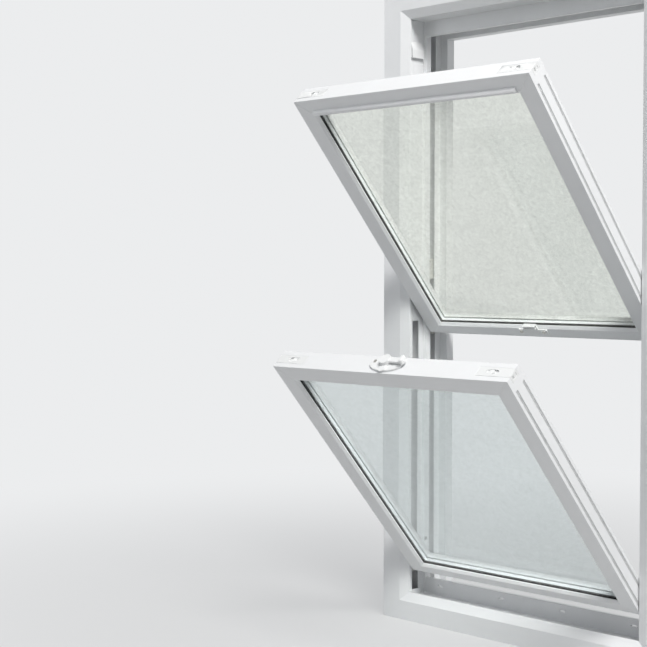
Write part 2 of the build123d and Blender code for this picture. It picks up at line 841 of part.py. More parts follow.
def make_latch_housing():
    """Moulded case of the left tilt latch, let into the top rail."""
    with BuildPart() as house:
        with BuildSketch(Plane.XY.offset(sash_top - latch_depth)):
            with Locations((-sash_half + latch_length / 2, 0)):
                Rectangle(latch_length, latch_width)
        extrude(amount=latch_depth)
        channel_end = (-sash_half, 0, sash_top - latch_depth / 2)
        channel = Plane(origin=channel_end, x_dir=(0, 1, 0), z_dir=(1, 0, 0))
        with BuildSketch(channel):
            Rectangle(bolt_width + 2 * bolt_clearance, bolt_height + 2 * bolt_clearance)
        extrude(amount=latch_length - sash_wall, mode=Mode.SUBTRACT)
        with BuildSketch(Plane.XY.offset(sash_top)):
            with Locations((-sash_half + button_place - bolt_travel / 2, 0)):
                opening = button_length + bolt_travel + 2 * bolt_clearance
                SlotOverall(opening, button_width + 2 * bolt_clearance)
        extrude(amount=-latch_depth / 2, mode=Mode.SUBTRACT)
    return house.part


def make_latch():
    """Sliding bolt of the left tilt latch with its thumb button."""
    tip = (-sash_half + bolt_inset, 0, sash_top - latch_depth / 2)
    start = Plane(origin=tip, x_dir=(0, 1, 0), z_dir=(1, 0, 0))
    with BuildPart() as bolt:
        with BuildSketch(start):
            Rectangle(bolt_width, bolt_height)
        extrude(amount=bolt_length)
        nose = bolt.edges().filter_by(Axis.Z).group_by(Axis.X)[0].sort_by(Axis.Y)[0]
        chamfer(nose, bolt_nose)
        with BuildSketch(Plane.XY.offset(sash_top - latch_depth / 2)):
            with Locations((-sash_half + button_place, 0)):
                SlotOverall(button_length, button_width)
        extrude(amount=latch_depth / 2 - bolt_clearance)
        with BuildSketch(Plane.XY.offset(sash_top - bolt_clearance)):
            with Locations((-sash_half + button_place + dimple_offset, 0)):
                Circle(dimple_radius)
        extrude(amount=-dimple_depth, taper=dimple_taper, mode=Mode.SUBTRACT)
    return bolt.part


# Sash lock on the lower sash's top rail and its keeper on the upper sash's bottom rail.


def make_lock_base():
    seat = Plane(origin=(0, lock_setback, sash_top))
    with BuildPart() as base:
        with BuildSketch(Plane(origin=(0, lock_shift, sash_top))):
            Ellipse(lock_length / 2, lock_width / 2)
        extrude(amount=lock_base_height)
        fillet(base.faces().sort_by(Axis.Z)[-1].edges(), lock_base_height / 3)
        with BuildSketch(seat.offset(lock_base_height)):
            Circle(lock_pin_radius)
        extrude(amount=lock_hub_height - edge_break)
        with BuildSketch(seat):
            with Locations((-lock_screw_pitch / 2, 0), (lock_screw_pitch / 2, 0)):
                Circle(screw_radius + bar_fit)
        extrude(amount=lock_base_height, mode=Mode.SUBTRACT)
        with BuildSketch(seat.offset(lock_screw_seat)):
            with Locations((-lock_screw_pitch / 2, 0), (lock_screw_pitch / 2, 0)):
                Circle(screw_head_radius + bar_fit)
        extrude(amount=lock_base_height, mode=Mode.SUBTRACT)
    return base.part


def make_lock_lever():
    """Turning hub with its thumb lever, and under it the cam that reaches over to the keeper."""
    seat = Plane(origin=(0, lock_setback, sash_top + lock_base_height + lock_clearance))
    arm = seat.offset(lock_cam_thickness)
    with BuildPart() as lever:
        with BuildSketch(seat):
            Circle(lock_hub_radius)
        extrude(amount=lock_hub_height, taper=lock_hub_taper)
        with BuildSketch(arm):
            with Locations((lock_lever_length / 2, 0)):
                SlotOverall(lock_lever_length + lock_lever_width, lock_lever_width)
        extrude(amount=lock_lever_height)
        with BuildSketch(arm):
            with Locations((lock_lever_length, 0)):
                SlotOverall(lock_tab_length, lock_tab_width, rotation=90)
        extrude(amount=lock_tab_height)
        fillet(lever.faces().sort_by(Axis.Z)[-1].edges(), edge_break / 2)
        with BuildSketch(seat):
            with Locations((0, -lock_cam_reach / 2)):
                SlotOverall(lock_cam_reach, lock_cam_width, rotation=90)
        extrude(amount=lock_cam_thickness)
        with BuildSketch(seat):
            Circle(lock_pin_radius + lock_clearance / 2)
        extrude(amount=lock_hub_height - edge_break, mode=Mode.SUBTRACT)
    return lever.part


def make_screw_pair(plane, pitch, head_seat):
    """Two pan-head screws, their heads resting at head_seat above the plane."""
    screws = []
    for side in (-1, 1):
        with BuildPart() as screw:
            with BuildSketch(plane.offset(head_seat)):
                with Locations((side * pitch / 2, 0)):
                    Circle(screw_head_radius)
            extrude(amount=pan_head_height)
            with BuildSketch(plane.offset(head_seat)):
                with Locations((side * pitch / 2, 0)):
                    Circle(screw_radius)
            extrude(amount=-head_seat)
        screws.append(screw.part)
    return Compound(children=screws)


# The keeper's channel sits where the lock's cam is when both sashes are closed.
cam_closed = lower_closed + sash_top + lock_base_height + lock_clearance + lock_cam_thickness / 2
keeper_slot = cam_closed - upper_closed
keeper_plate = member_width - pivot_rise - glass_lip_slope - keeper_height / 2
keeper_face = Plane(origin=(0, face, keeper_plate), x_dir=(1, 0, 0), z_dir=(0, -1, 0))


def make_keeper():
    slot_half = lock_cam_thickness / 2 + keeper_play
    slot_rise = keeper_slot - keeper_plate
    top = slot_rise + slot_half + keeper_lip
    with BuildPart() as keeper:
        with BuildSketch(keeper_face):
            RectangleRounded(keeper_length, keeper_height, keeper_height / 3)
            with Locations((0, (top - keeper_height / 2) / 2)):
                Rectangle(keeper_hook_length, top + keeper_height / 2)
        extrude(amount=keeper_thickness)
        with BuildSketch(keeper_face.offset(keeper_thickness)):
            for side in (-1, 1):
                with Locations((0, slot_rise + side * (slot_half + keeper_lip / 2))):
                    Rectangle(keeper_hook_length, keeper_lip)
        extrude(amount=keeper_hook_reach - keeper_thickness)
        with BuildSketch(keeper_face):
            with Locations((-keeper_screw_pitch / 2, 0), (keeper_screw_pitch / 2, 0)):
                Circle(screw_radius + bar_fit)
        extrude(amount=keeper_thickness, mode=Mode.SUBTRACT)
    return keeper.part


# Frame
save_pair(make_jamb(), "frame_jamb")
save(make_sill(), "frame_sill")
save(make_head(), "frame_head")
save(make_drain_covers(), "drain_covers")
save_pair(make_track_cover(), "track_cover")
save_pair(make_sash_stop(), "sash_stop")

# Balances
balances = [
    ("lower", lower_line, lower_pivot, lower_coil_height),
    ("upper", upper_line, upper_pivot, upper_coil_height),
]
coil_screws = []
for name, line, pivot, rise in balances:
    save_pair(make_shoe(line, pivot), name + "_balance_shoe")
    save_pair(make_coil(line, rise), name + "_balance_coil")
    save_pair(make_ribbon(line, pivot, rise), name + "_balance_ribbon")
    screw = make_coil_screw(line, rise)
    coil_screws += [screw, mirror(screw, about=Plane.YZ)]
save(Compound(children=coil_screws), "balance_screws")

# Sashes
for name, place in (("lower", lower_place), ("upper", upper_place)):
    save_pair(make_pivot_bar(), name + "_pivot_bar", place)
    save_pair(make_stile(), name + "_stile", place)
    save(make_top_rail(name == "upper"), name + "_top_rail", place)
    save(make_bottom_rail(), name + "_bottom_rail", place)
    save(ring(glass_in, pane_thickness, glass_edge, None), name + "_glass_inner", place)
    save(ring(glass_mid_out, pane_thickness, glass_edge, None), name + "_glass_outer", place)
    spacer = ring(glass_mid_in, air_gap, spacer_edge, spacer_edge + spacer_width)
    save(spacer, name + "_glass_spacer", place)
    tape = ring(glass_in - tape_thickness, tape_thickness, member_width - tape_width, member_width)
    save(tape, name + "_glazing_tape", place)
    save(make_beads(), name + "_glazing_beads", place)
    save(make_weatherstrips(), name + "_weatherstrips", place)
    save_pair(make_latch_housing(), name + "_latch_housing", place)
    save_pair(make_latch(), name + "_tilt_latch", place)

save(make_lock_base(), "lock_base", lower_place)
save(make_lock_lever(), "lock_lever", lower_place)
lock_seat = Plane(origin=(0, lock_setback, sash_top))
save(make_screw_pair(lock_seat, lock_screw_pitch, lock_screw_seat), "lock_screws", lower_place)
save(make_keeper(), "lock_keeper", upper_place)
save(make_screw_pair(keeper_face, keeper_screw_pitch, keeper_thickness), "keeper_screws", upper_place)
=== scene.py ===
import math

import bmesh
import bpy
from mathutils import Matrix, Vector


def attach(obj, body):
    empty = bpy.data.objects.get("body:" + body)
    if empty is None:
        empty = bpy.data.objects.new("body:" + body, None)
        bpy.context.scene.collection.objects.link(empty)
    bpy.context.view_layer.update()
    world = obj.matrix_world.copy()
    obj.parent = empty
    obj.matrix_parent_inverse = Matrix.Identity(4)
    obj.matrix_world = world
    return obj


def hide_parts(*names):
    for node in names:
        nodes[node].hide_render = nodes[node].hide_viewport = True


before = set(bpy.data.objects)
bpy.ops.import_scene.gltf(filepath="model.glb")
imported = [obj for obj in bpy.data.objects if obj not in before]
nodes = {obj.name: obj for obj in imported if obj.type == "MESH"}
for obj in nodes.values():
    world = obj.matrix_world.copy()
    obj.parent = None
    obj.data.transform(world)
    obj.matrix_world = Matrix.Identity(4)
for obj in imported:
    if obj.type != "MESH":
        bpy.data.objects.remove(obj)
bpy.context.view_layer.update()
scene = bpy.context.scene
scene.view_settings.view_transform = "Standard"

# The room round the window.
# A pale floor under the sill that fades into plain pale air, lit by one large soft lamp high on the right,
# as from an open door, weaker ones from the left and from outdoors, and a little light from all round.

eye = Vector((1.4395, -1.9886, 0.6466))
eye_turn = 44.657
eye_drop = 2.039
picture_side = 647
focal_pixels = 1378.1
sensor = 36.0

camera_data = bpy.data.cameras.new("room_camera")
camera_data.sensor_width = sensor
camera_data.lens = focal_pixels / picture_side * sensor
camera_data.clip_end = 100
camera = bpy.data.objects.new("room_camera", camera_data)
camera.location = eye
camera.rotation_euler = (math.radians(90 - eye_drop), 0, math.radians(eye_turn))
scene.collection.objects.link(camera)
scene.camera = camera


def soft_lamp(name, place, aim, side, power, colour):
    data = bpy.data.lights.new(name, "AREA")
    data.shape = "DISK"
    data.size = side
    data.energy = power
    data.color = colour
    lamp = bpy.data.objects.new(name, data)
    lamp.location = place
    lamp.rotation_euler = (Vector(aim) - Vector(place)).to_track_quat("-Z", "Y").to_euler()
    lamp.visible_camera = False
    lamp.visible_transmission = False
    scene.collection.objects.link(lamp)


soft_lamp("door_light", place=(2.6, -1.7, 3.9), aim=(0, 0, 0.6), side=1.8, power=222,
          colour=(1.0, 0.99, 0.975))
soft_lamp("left_light", place=(-2.2, -2.8, 1.5), aim=(0, 0, 0.9), side=2.4, power=15,
          colour=(0.95, 0.97, 1.0))
soft_lamp("garden_light", place=(0.8, 3.4, 2.2), aim=(0, 0, 0.6), side=2.4, power=24,
          colour=(0.97, 0.985, 1.0))


def background_seen(tree):
    """One for rays from the camera, through glass or off a glossy surface, and nothing for the rest."""
    path = tree.nodes.new("ShaderNodeLightPath")
    seen = path.outputs["Is Camera Ray"]
    for kind in ("Is Transmission Ray", "Is Glossy Ray"):
        either = tree.nodes.new("ShaderNodeMath")
        either.operation = "MAXIMUM"
        tree.links.new(seen, either.inputs[0])
        tree.links.new(path.outputs[kind], either.inputs[1])
        seen = either.outputs[0]
    return seen


light_colour = (0.93, 0.96, 1.0, 1)
light_strength = 0.26
pale_air = (0.93, 0.94, 0.95, 1)
pale_strength = 0.9
world = bpy.data.worlds.new("room_air")
world.use_nodes = True
scene.world = world
air = world.node_tree
air_light = air.nodes["Background"]
air_light.inputs["Color"].default_value = light_colour
air_light.inputs["Strength"].default_value = light_strength
air_seen = air.nodes.new("ShaderNodeBackground")
air_seen.inputs["Color"].default_value = pale_air
air_seen.inputs["Strength"].default_value = pale_strength
air_mix = air.nodes.new("ShaderNodeMixShader")
air.links.new(background_seen(air), air_mix.inputs["Fac"])
air.links.new(air_light.outputs[0], air_mix.inputs[1])
air.links.new(air_seen.outputs[0], air_mix.inputs[2])
air.links.new(air_mix.outputs[0], air.nodes["World Output"].inputs["Surface"])

floor_half = 40.0
floor_colour = (0.50, 0.50, 0.50, 1)
floor_roughness = 0.85
fade_start = 0.3
fade_end = 2.2
fade_least = 0.55
floor_corners = [(-floor_half, -floor_half, 0), (floor_half, -floor_half, 0), (floor_half, floor_half, 0),
                 (-floor_half, floor_half, 0)]
floor_mesh = bpy.data.meshes.new("room_floor")
floor_mesh.from_pydata(floor_corners, [], [(0, 1, 2, 3)])
room_floor = bpy.data.objects.new("room_floor", floor_mesh)
scene.collection.objects.link(room_floor)
floor_paint = bpy.data.materials.new("pale_floor")
floor_paint.use_nodes = True
floor_tree = floor_paint.node_tree
floor_shader = floor_tree.nodes["Principled BSDF"]
floor_shader.inputs["Base Color"].default_value = floor_colour
floor_shader.inputs["Roughness"].default_value = floor_roughness
floor_place = floor_tree.nodes.new("ShaderNodeTexCoord")
floor_far = floor_tree.nodes.new("ShaderNodeVectorMath")
floor_far.operation = "LENGTH"
floor_tree.links.new(floor_place.outputs["Object"], floor_far.inputs[0])
floor_fade = floor_tree.nodes.new("ShaderNodeMapRange")
floor_fade.interpolation_type = "SMOOTHSTEP"
floor_fade.inputs["From Min"].default_value = fade_start
floor_fade.inputs["From Max"].default_value = fade_end
floor_fade.inputs["To Min"].default_value = fade_least
floor_tree.links.new(floor_far.outputs["Value"], floor_fade.inputs["Value"])
floor_blend = floor_tree.nodes.new("ShaderNodeMath")
floor_blend.operation = "MULTIPLY"
floor_tree.links.new(background_seen(floor_tree), floor_blend.inputs[0])
floor_tree.links.new(floor_fade.outputs["Result"], floor_blend.inputs[1])
floor_air = floor_tree.nodes.new("ShaderNodeEmission")
floor_air.inputs["Color"].default_value = pale_air
floor_air.inputs["Strength"].default_value = pale_strength
floor_mix = floor_tree.nodes.new("ShaderNodeMixShader")
floor_tree.links.new(floor_blend.outputs[0], floor_mix.inputs["Fac"])
floor_tree.links.new(floor_shader.outputs[0], floor_mix.inputs[1])
floor_tree.links.new(floor_air.outputs[0], floor_mix.inputs[2])
floor_tree.links.new(floor_mix.outputs[0], floor_tree.nodes["Material Output"].inputs["Surface"])
floor_mesh.materials.append(floor_paint)

# The fixed frame: head, sill and two jambs.
# Hollow white vinyl extrusions, cut, welded at the corners and cleaned off. Their faces keep a slight
# satin gloss with faint lines along the length from the die, and every edge has a small round.

tilt = math.radians(42.0)
die_line_scale = 900
grain_scale = 1400
cloud_scale = 9
upward_from = 0.3
dust_span = (0.42, 0.75)
tone_span = (0.3, 0.7)
darkest_tone = 0.965
dust_roughness = 0.8
line_roughness = 0.12
grain_share = 0.5
settled_dust = (0.42, 0.40, 0.36, 1)
skin_relief = 0.5
vinyl_ior = 1.52
same_point = 0.000002
flat_angle = math.radians(0.5)
edge_angle = math.radians(25)


def new_group(name, inputs, outputs):
    group = bpy.data.node_groups.new(name, "ShaderNodeTree")
    for kind, label, default in inputs:
        socket = group.interface.new_socket(label, in_out="INPUT", socket_type=kind)
        socket.default_value = default
    for kind, label in outputs:
        group.interface.new_socket(label, in_out="OUTPUT", socket_type=kind)
    return group, group.nodes.new("NodeGroupInput"), group.nodes.new("NodeGroupOutput")


def extruded_skin():
    """Faint die lines along the extrusion, a cloudy tone, and dust that has settled on top faces."""
    group, start, end = new_group(
        "extruded_skin",
        [("NodeSocketColor", "Vinyl", (0.8, 0.8, 0.8, 1)), ("NodeSocketColor", "Dust", (0.5, 0.5, 0.5, 1)),
         ("NodeSocketFloat", "Dust Amount", 0.15), ("NodeSocketFloat", "Gloss Roughness", 0.35),
         ("NodeSocketVector", "Run", (1, 1, 1)), ("NodeSocketVector", "Turn", (0, 0, 0))],
        [("NodeSocketColor", "Color"), ("NodeSocketFloat", "Roughness"), ("NodeSocketFloat", "Height")])
    n, link = group.nodes, group.links.new
    where = n.new("ShaderNodeTexCoord")
    turned = n.new("ShaderNodeMapping")
    turned.vector_type = "POINT"
    link(where.outputs["Object"], turned.inputs["Vector"])
    link(start.outputs["Turn"], turned.inputs["Rotation"])
    stretched = n.new("ShaderNodeVectorMath")
    stretched.operation = "MULTIPLY"
    link(turned.outputs["Vector"], stretched.inputs[0])
    link(start.outputs["Run"], stretched.inputs[1])
    lines = n.new("ShaderNodeTexNoise")
    lines.inputs["Scale"].default_value = die_line_scale
    lines.inputs["Detail"].default_value = 2
    link(stretched.outputs[0], lines.inputs["Vector"])
    skin = n.new("ShaderNodeTexNoise")
    skin.inputs["Scale"].default_value = grain_scale
    skin.inputs["Detail"].default_value = 1
    link(where.outputs["Object"], skin.inputs["Vector"])
    cloud = n.new("ShaderNodeTexNoise")
    cloud.inputs["Scale"].default_value = cloud_scale
    cloud.inputs["Detail"].default_value = 4
    link(where.outputs["Object"], cloud.inputs["Vector"])
    facing = n.new("ShaderNodeSeparateXYZ")
    link(where.outputs["Normal"], facing.inputs[0])
    upward = n.new("ShaderNodeMapRange")
    upward.inputs["From Min"].default_value = upward_from
    link(facing.outputs["Z"], upward.inputs["Value"])
    speck = n.new("ShaderNodeMapRange")
    speck.inputs["From Min"].default_value, speck.inputs["From Max"].default_value = dust_span
    link(cloud.outputs["Fac"], speck.inputs["Value"])
    settled = n.new("ShaderNodeMath")
    settled.operation = "MULTIPLY"
    link(upward.outputs["Result"], settled.inputs[0])
    link(speck.outputs["Result"], settled.inputs[1])
    dusty = n.new("ShaderNodeMath")
    dusty.operation = "MULTIPLY"
    link(settled.outputs[0], dusty.inputs[0])
    link(start.outputs["Dust Amount"], dusty.inputs[1])
    tone = n.new("ShaderNodeMapRange")
    tone.inputs["From Min"].default_value, tone.inputs["From Max"].default_value = tone_span
    tone.inputs["To Min"].default_value = darkest_tone
    link(cloud.outputs["Fac"], tone.inputs["Value"])
    toned = n.new("ShaderNodeVectorMath")
    toned.operation = "SCALE"
    link(start.outputs["Vinyl"], toned.inputs[0])
    link(tone.outputs["Result"], toned.inputs["Scale"])
    mixed = n.new("ShaderNodeMix")
    mixed.data_type = "RGBA"
    link(dusty.outputs[0], mixed.inputs["Factor"])
    link(toned.outputs[0], mixed.inputs["A"])
    link(start.outputs["Dust"], mixed.inputs["B"])
    link(mixed.outputs["Result"], end.inputs["Color"])
    rough = n.new("ShaderNodeMath")
    rough.operation = "MULTIPLY_ADD"
    link(dusty.outputs[0], rough.inputs[0])
    rough.inputs[1].default_value = dust_roughness
    rub = n.new("ShaderNodeMath")
    rub.operation = "MULTIPLY_ADD"
    link(lines.outputs["Fac"], rub.inputs[0])
    rub.inputs[1].default_value = line_roughness
    link(start.outputs["Gloss Roughness"], rub.inputs[2])
    link(rub.outputs[0], rough.inputs[2])
    link(rough.outputs[0], end.inputs["Roughness"])
    high = n.new("ShaderNodeMath")
    high.operation = "MULTIPLY_ADD"
    link(skin.outputs["Fac"], high.inputs[0])
    high.inputs[1].default_value = grain_share
    link(lines.outputs["Fac"], high.inputs[2])
    link(high.outputs[0], end.inputs["Height"])
    return group


skin_group = extruded_skin()


def plastic(name, colour, roughness, run=(1, 1, 1), turn=(0, 0, 0), dust=0.2, relief=0.00001):
    """Moulded or extruded plastic: run is short along the extrusion, so that the lines follow it."""
    material = bpy.data.materials.new(name)
    material.use_nodes = True
    tree = material.node_tree
    shader = tree.nodes["Principled BSDF"]
    skin = tree.nodes.new("ShaderNodeGroup")
    skin.node_tree = skin_group
    skin.inputs["Vinyl"].default_value = (*colour, 1)
    skin.inputs["Dust"].default_value = settled_dust
    skin.inputs["Dust Amount"].default_value = dust
    skin.inputs["Gloss Roughness"].default_value = roughness
    skin.inputs["Run"].default_value = run
    skin.inputs["Turn"].default_value = turn
    bump = tree.nodes.new("ShaderNodeBump")
    bump.inputs["Strength"].default_value = skin_relief
    bump.inputs["Distance"].default_value = relief
    tree.links.new(skin.outputs["Height"], bump.inputs["Height"])
    tree.links.new(skin.outputs["Color"], shader.inputs["Base Color"])
    tree.links.new(skin.outputs["Roughness"], shader.inputs["Roughness"])
    tree.links.new(bump.outputs["Normal"], shader.inputs["Normal"])
    shader.inputs["IOR"].default_value = vinyl_ior
    return material


def finish_node(name, material, round_edge=0.0):
    """Gives a CAD node its material and, where asked, a small round on its edges."""
    piece = nodes[name]
    piece.data.materials.clear()
    piece.data.materials.append(material)
    if round_edge:
        weld = piece.modifiers.new("one_skin", "WELD")
        weld.merge_threshold = same_point
        flat = piece.modifiers.new("flat_faces", "DECIMATE")
        flat.decimate_type = "DISSOLVE"
        flat.angle_limit = flat_angle
        bevel = piece.modifiers.new("round_edges", "BEVEL")
        bevel.width = round_edge
        bevel.segments = 2
        bevel.limit_method = "ANGLE"
        bevel.angle_limit = edge_angle
        bevel.harden_normals = True


white = (0.80, 0.81, 0.82)
drawn_out = 0.004
frame_round = 0.0006
upright_vinyl = plastic("upright_vinyl", white, 0.34, run=(1, 1, drawn_out))
level_vinyl = plastic("level_vinyl", white, 0.34, run=(drawn_out, 1, 1))
for name in ("frame_jamb_left", "frame_jamb_right"):
    finish_node(name, upright_vinyl, frame_round)
for name in ("frame_head", "frame_sill"):
    finish_node(name, level_vinyl, frame_round)

# Drain covers on the sill's outdoor face.
# Moulded from the same white plastic, a little more matt, and pushed into the two drain slots.

clip_plastic = plastic("clip_plastic", (0.77, 0.78, 0.785), 0.45, dust=0.35)
cap_round = 0.0003
finish_node("drain_covers", clip_plastic, cap_round)

# Track covers and sash stops in the room-side tracks.
# The covers are thin extruded strips snapped over the slot, and the stops are moulded wedges.

cover_vinyl = plastic("cover_vinyl", (0.79, 0.80, 0.81), 0.38, run=(1, 1, drawn_out))
cover_round = 0.0002
stop_round = 0.0004
for side in ("left", "right"):
    finish_node("track_cover_" + side, cover_vinyl, cover_round)
    finish_node("sash_stop_" + side, clip_plastic, stop_round)

# Balances in the jamb pockets.
# Each sash hangs on two flat spring-steel ribbons that unwind from coils in moulded housings, and the
# ribbons pull up moulded shoes. Plain zinc-plated screws hold the housings.

oil_and_dust = (0.2, 0.18, 0.15, 1)
oil_share = 0.5
steel_relief = 0.6
steel_relief_depth = 0.00001


def bare_steel(name, colour, roughness, run):
    material = bpy.data.materials.new(name)
    material.use_nodes = True
    tree = material.node_tree
    shader = tree.nodes["Principled BSDF"]
    skin = tree.nodes.new("ShaderNodeGroup")
    skin.node_tree = skin_group
    skin.inputs["Vinyl"].default_value = (*colour, 1)
    skin.inputs["Dust"].default_value = oil_and_dust
    skin.inputs["Dust Amount"].default_value = oil_share
    skin.inputs["Gloss Roughness"].default_value = roughness
    skin.inputs["Run"].default_value = run
    bump = tree.nodes.new("ShaderNodeBump")
    bump.inputs["Strength"].default_value = steel_relief
    bump.inputs["Distance"].default_value = steel_relief_depth
    tree.links.new(skin.outputs["Height"], bump.inputs["Height"])
    tree.links.new(skin.outputs["Color"], shader.inputs["Base Color"])
    tree.links.new(skin.outputs["Roughness"], shader.inputs["Roughness"])
    tree.links.new(bump.outputs["Normal"], shader.inputs["Normal"])
    shader.inputs["Metallic"].default_value = 1.0
    return material


shoe_round = 0.0004
shoe_plastic = plastic("shoe_plastic", (0.62, 0.62, 0.59), 0.5, dust=0.5)
ribbon_steel = bare_steel("ribbon_steel", (0.50, 0.50, 0.52), 0.22, (1, 1, 0.01))
zinc = bare_steel("zinc", (0.62, 0.61, 0.58), 0.3, (1, 1, 1))
for sash in ("lower", "upper"):
    for side in ("left", "right"):
        finish_node(sash + "_balance_shoe_" + side, shoe_plastic, shoe_round)
        finish_node(sash + "_balance_coil_" + side, shoe_plastic)
        finish_node(sash + "_balance_ribbon_" + side, ribbon_steel)
        finish_node(sash + "_pivot_bar_" + side, zinc)
finish_node("balance_screws", zinc)

# The sashes' rails and stiles.
# Hollow white vinyl extrusions again, welded at their mitred corners, each about as wide as a thumb.

sash_round = 0.0006
bead_round = 0.0004
stile_vinyl = plastic("stile_vinyl", white, 0.33, run=(1, 1, drawn_out), turn=(-tilt, 0, 0))
rail_vinyl = plastic("rail_vinyl", white, 0.33, run=(drawn_out, 1, 1))
for sash in ("lower", "upper"):
    for side in ("left", "right"):
        finish_node(sash + "_stile_" + side, stile_vinyl, sash_round)
    finish_node(sash + "_top_rail", rail_vinyl, sash_round)
    finish_node(sash + "_bottom_rail", rail_vinyl, sash_round)
    finish_node(sash + "_glazing_beads", rail_vinyl, bead_round)

# Insulating glass in each sash.
# Two panes of float glass with a fine crinkle, a pale warm-edge spacer between their edges, and a black
# tape that beds the room-side pane. Patches of painted shade darken the glass along the crinkle, and the
# lower unit is painted slightly bluer, a painted reflection of pale sky on top of the glass's own tint.

glass_ior = 1.5
fold_scale = 75
fold_twist = 2.2
fold_span = (0.4, 0.6)
ripple_scale = 55
shadow_colour = (0.955, 0.96, 0.957, 1)
spacer_colour = (0.70, 0.73, 0.75)
sealant_colour = (0.012, 0.012, 0.012, 1)
sealant_edge = -0.0040
sealant_blur = 0.00015
sash_pivots = {"lower": Vector((0, -0.03225, 0.106)), "upper": Vector((0, 0.01575, 0.551))}


def pane_glass(name, tint, wave, crinkle_painted_shade):
    material = bpy.data.materials.new(name)
    material.use_nodes = True
    tree = material.node_tree
    shader = tree.nodes["Principled BSDF"]
    shader.inputs["Roughness"].default_value = 0.0
    shader.inputs["IOR"].default_value = glass_ior
    shader.inputs["Transmission Weight"].default_value = 1.0
    where = tree.nodes.new("ShaderNodeTexCoord")
    folds = tree.nodes.new("ShaderNodeTexNoise")
    folds.inputs["Scale"].default_value = fold_scale
    folds.inputs["Detail"].default_value = 4
    folds.inputs["Distortion"].default_value = fold_twist
    tree.links.new(where.outputs["Object"], folds.inputs["Vector"])
    # Painted shade: the crinkle darkens the glass colour in patches, standing in for the light the ripple
    # bends.
    shade = tree.nodes.new("ShaderNodeMapRange")
    shade.inputs["From Min"].default_value, shade.inputs["From Max"].default_value = fold_span
    shade.inputs["To Min"].default_value = 1.0 - crinkle_painted_shade
    tree.links.new(folds.outputs["Fac"], shade.inputs["Value"])
    toned = tree.nodes.new("ShaderNodeVectorMath")
    toned.operation = "SCALE"
    toned.inputs[0].default_value = tint
    tree.links.new(shade.outputs["Result"], toned.inputs["Scale"])
    tree.links.new(toned.outputs[0], shader.inputs["Base Color"])
    ripple = tree.nodes.new("ShaderNodeTexNoise")
    ripple.inputs["Scale"].default_value = ripple_scale
    ripple.inputs["Detail"].default_value = 3
    bump = tree.nodes.new("ShaderNodeBump")
    bump.inputs["Strength"].default_value = 1.0
    bump.inputs["Distance"].default_value = wave
    tree.links.new(where.outputs["Object"], ripple.inputs["Vector"])
    tree.links.new(ripple.outputs["Fac"], bump.inputs["Height"])
    tree.links.new(bump.outputs["Normal"], shader.inputs["Normal"])
    clear = tree.nodes.new("ShaderNodeBsdfTransparent")
    clear.inputs["Color"].default_value = shadow_colour
    ray = tree.nodes.new("ShaderNodeLightPath")
    either = tree.nodes.new("ShaderNodeMixShader")
    tree.links.new(ray.outputs["Is Shadow Ray"], either.inputs["Fac"])
    tree.links.new(shader.outputs[0], either.inputs[1])
    tree.links.new(clear.outputs[0], either.inputs[2])
    tree.links.new(either.outputs[0], tree.nodes["Material Output"].inputs["Surface"])
    return material


def matt_rubber(name, colour, roughness):
    return plastic(name, colour, roughness, dust=0.3, relief=0.00003)


def edge_spacer(name, pivot):
    """Pale spacer with the black line of sealant that bonds it to the room-side pane."""
    material = matt_rubber(name, spacer_colour, 0.5)
    tree = material.node_tree
    shader = tree.nodes["Principled BSDF"]
    where = tree.nodes.new("ShaderNodeTexCoord")
    settle = tree.nodes.new("ShaderNodeMapping")
    settle.vector_type = "TEXTURE"
    settle.inputs["Location"].default_value = pivot
    settle.inputs["Rotation"].default_value = (tilt, 0, 0)
    tree.links.new(where.outputs["Object"], settle.inputs["Vector"])
    parts = tree.nodes.new("ShaderNodeSeparateXYZ")
    tree.links.new(settle.outputs["Vector"], parts.inputs["Vector"])
    sealant = tree.nodes.new("ShaderNodeMapRange")
    sealant.inputs["From Min"].default_value = sealant_edge - sealant_blur
    sealant.inputs["From Max"].default_value = sealant_edge + sealant_blur
    tree.links.new(parts.outputs["Y"], sealant.inputs["Value"])
    pale = shader.inputs["Base Color"].links[0].from_socket
    colour = tree.nodes.new("ShaderNodeMix")
    colour.data_type = "RGBA"
    colour.inputs["A"].default_value = sealant_colour
    tree.links.new(sealant.outputs["Result"], colour.inputs["Factor"])
    tree.links.new(pale, colour.inputs["B"])
    tree.links.new(colour.outputs["Result"], shader.inputs["Base Color"])
    return material


tape_black = matt_rubber("tape_black", (0.018, 0.018, 0.018), 0.7)
upper_glass = pane_glass("upper_glass", tint=(0.93, 0.945, 0.915), wave=0.00004, crinkle_painted_shade=0.07)
# The lower glass's bluer tint is partly its own colour and partly a painted reflection of pale sky.
lower_glass_painted_sky = pane_glass("lower_glass_painted_sky", tint=(0.885, 0.915, 0.915), wave=0.00003, crinkle_painted_shade=0.04)
for sash, glass in (("lower", lower_glass_painted_sky), ("upper", upper_glass)):
    for pane in ("inner", "outer"):
        finish_node(sash + "_glass_" + pane, glass)
    finish_node(sash + "_glass_spacer", edge_spacer(sash + "_spacer", sash_pivots[sash]))
    finish_node(sash + "_glazing_tape", tape_black)

# Pile strips along the stiles' edges and the soft seal under each bottom rail.
# Short white fibres stand in a woven backing, two strips to an edge. The seal is a smooth rounded bulb.

sash_half = 0.244
sash_foot = -0.013
pile_start = 0.0002
pile_end = 0.5108
pile_places = (-0.0105, 0.0105)
pile_width = 0.0046
backing_base = -0.0028
backing_top = -0.0012
fibre_length = 0.0021
fibre_radius = 0.00016
fibre_density = 1500000
fibre_lean = 0.35
fibre_seed = 7
seal_place = 0.005
seal_width = 0.0046
seal_top = 0.0028
seal_proud = 0.0015
seal_half = 0.21
seal_steps = 10


def sash_frame(sash):
    return Matrix.Translation(sash_pivots[sash]) @ Matrix.Rotation(tilt, 4, "X")


